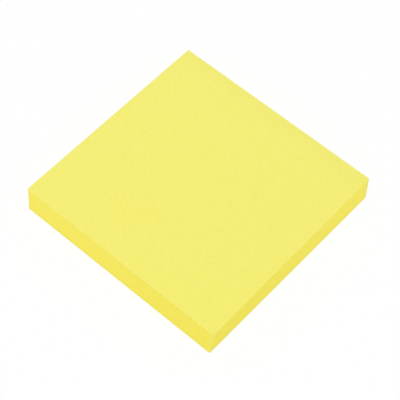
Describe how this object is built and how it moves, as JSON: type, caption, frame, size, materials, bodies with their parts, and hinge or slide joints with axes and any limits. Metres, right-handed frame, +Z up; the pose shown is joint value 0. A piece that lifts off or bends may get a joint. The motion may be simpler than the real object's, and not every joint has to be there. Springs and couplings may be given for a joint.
{
  "type": "sticky note pad",
  "caption": "Square pad of yellow repositionable notes, glued along one edge and lying flat on its backing sheet.",
  "frame": {"origin": "the middle of the pad's footprint, on the surface it lies on", "axes": "+Z up through the stack of notes; +Y towards the glued edge, at the picture's upper right; +X along the glued edge"},
  "size_m": [0.076, 0.076, 0.0113],
  "materials": {
    "note_paper": "matte",
    "adhesive": "satin",
    "backing_paper": "satin"
  },
  "bodies": {
    "root": {"note_sheets": "note_paper", "adhesive_strip": "adhesive", "backing_sheet": "backing_paper"}
  },
  "joints": []
}
